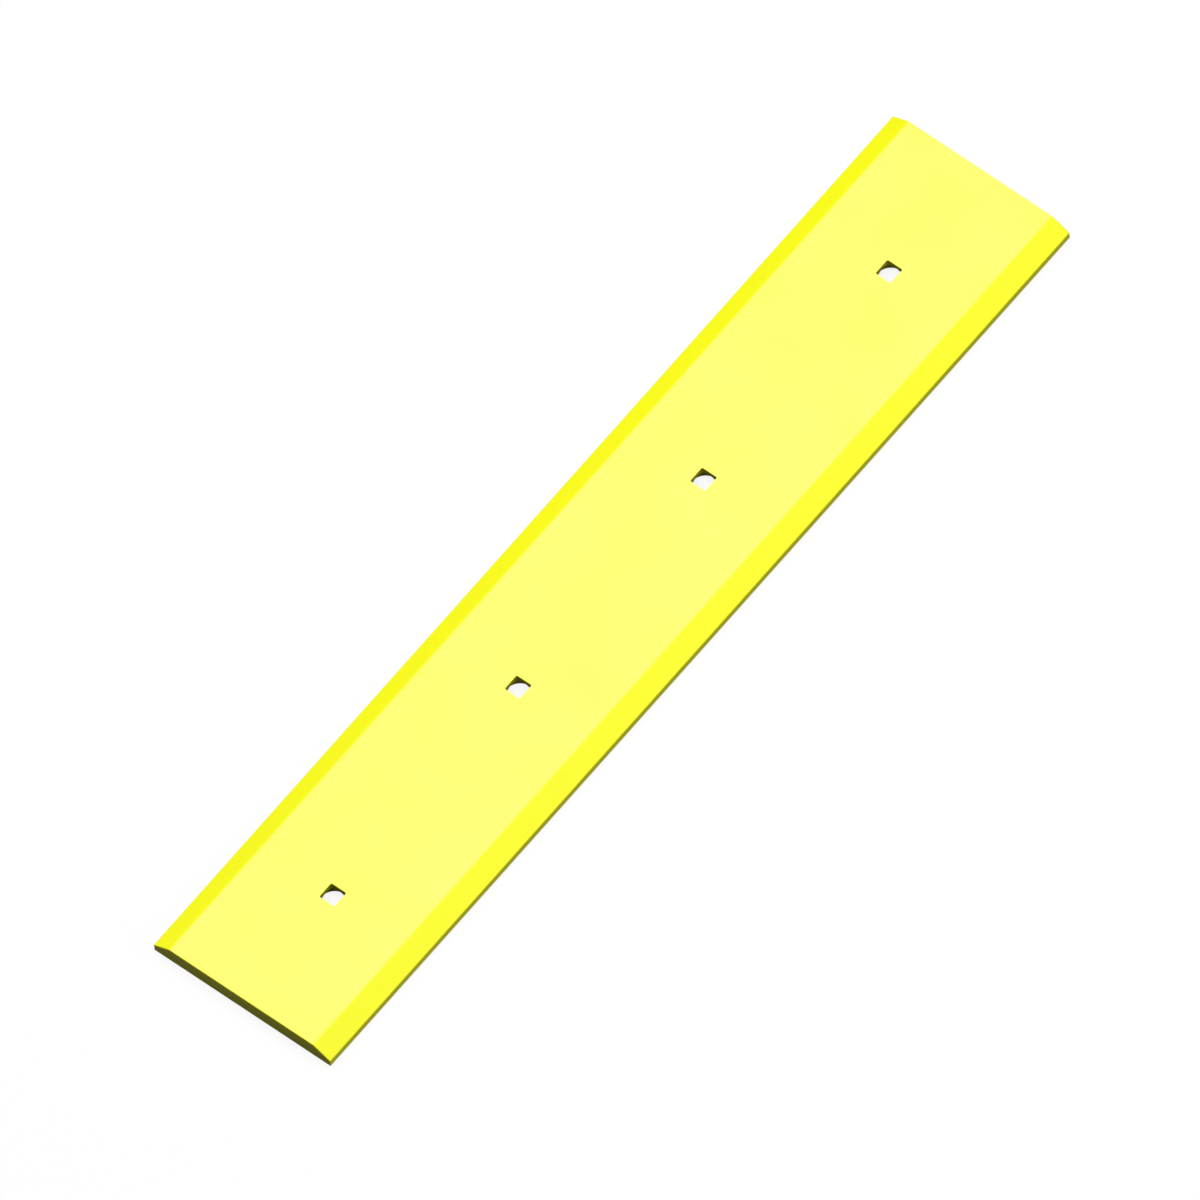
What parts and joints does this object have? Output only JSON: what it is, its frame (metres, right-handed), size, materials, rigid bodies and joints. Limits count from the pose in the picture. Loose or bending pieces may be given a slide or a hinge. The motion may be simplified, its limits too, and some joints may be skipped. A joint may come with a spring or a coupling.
{
  "type": "earthmover cutting edge",
  "caption": "Flat reversible wear bar, bevelled along both long edges above blunt lips, with a middle row of square, countersunk bolt holes for fixing it under an earthmoving blade.",
  "frame": {"origin": "centre of the flat wear face, midway between the ends and midway between the two lips", "axes": "+X along the lips (length), +Y across the section (width), +Z through the thickness from the wear face to the land"},
  "size_m": [1.065, 0.203, 0.019],
  "materials": {
    "yellow_paint": "semi-gloss"
  },
  "bodies": {
    "root": {"cutting_edge": "yellow_paint"}
  },
  "joints": []
}
